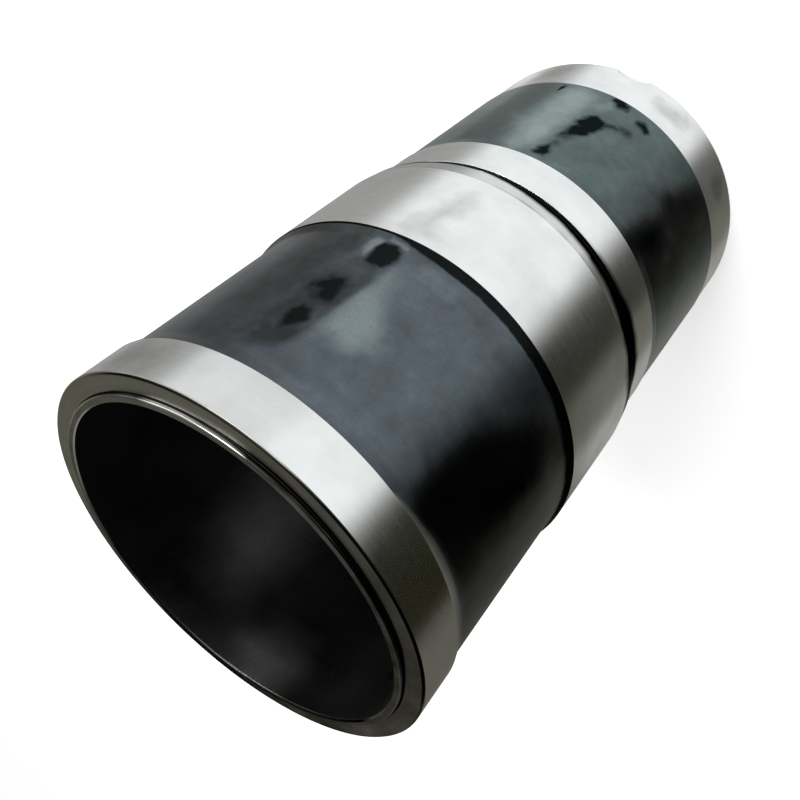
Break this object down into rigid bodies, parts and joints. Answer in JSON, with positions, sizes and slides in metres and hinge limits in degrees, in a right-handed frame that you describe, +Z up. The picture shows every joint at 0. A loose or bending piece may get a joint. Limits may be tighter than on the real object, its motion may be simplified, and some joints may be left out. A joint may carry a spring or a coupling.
{
  "type": "cylinder liner",
  "caption": "Wet diesel cylinder liner: a turned iron sleeve with a honed bore, press band, stop band with a seat, pilot band and raised fire ring.",
  "frame": {"origin": "centre of the lower end face, on the bore axis, which is the centre of the base of the bounding box", "axes": "+Z up the bore axis from the lower end to the fire ring; the oil jet notch in the lower end faces +X"},
  "size_m": [0.131, 0.131, 0.2386],
  "materials": {
    "liner_iron": "phosphated blue-black water jacket between ground satin bands, honed bore"
  },
  "bodies": {
    "root": {"cylinder_liner": "liner_iron"}
  },
  "joints": []
}
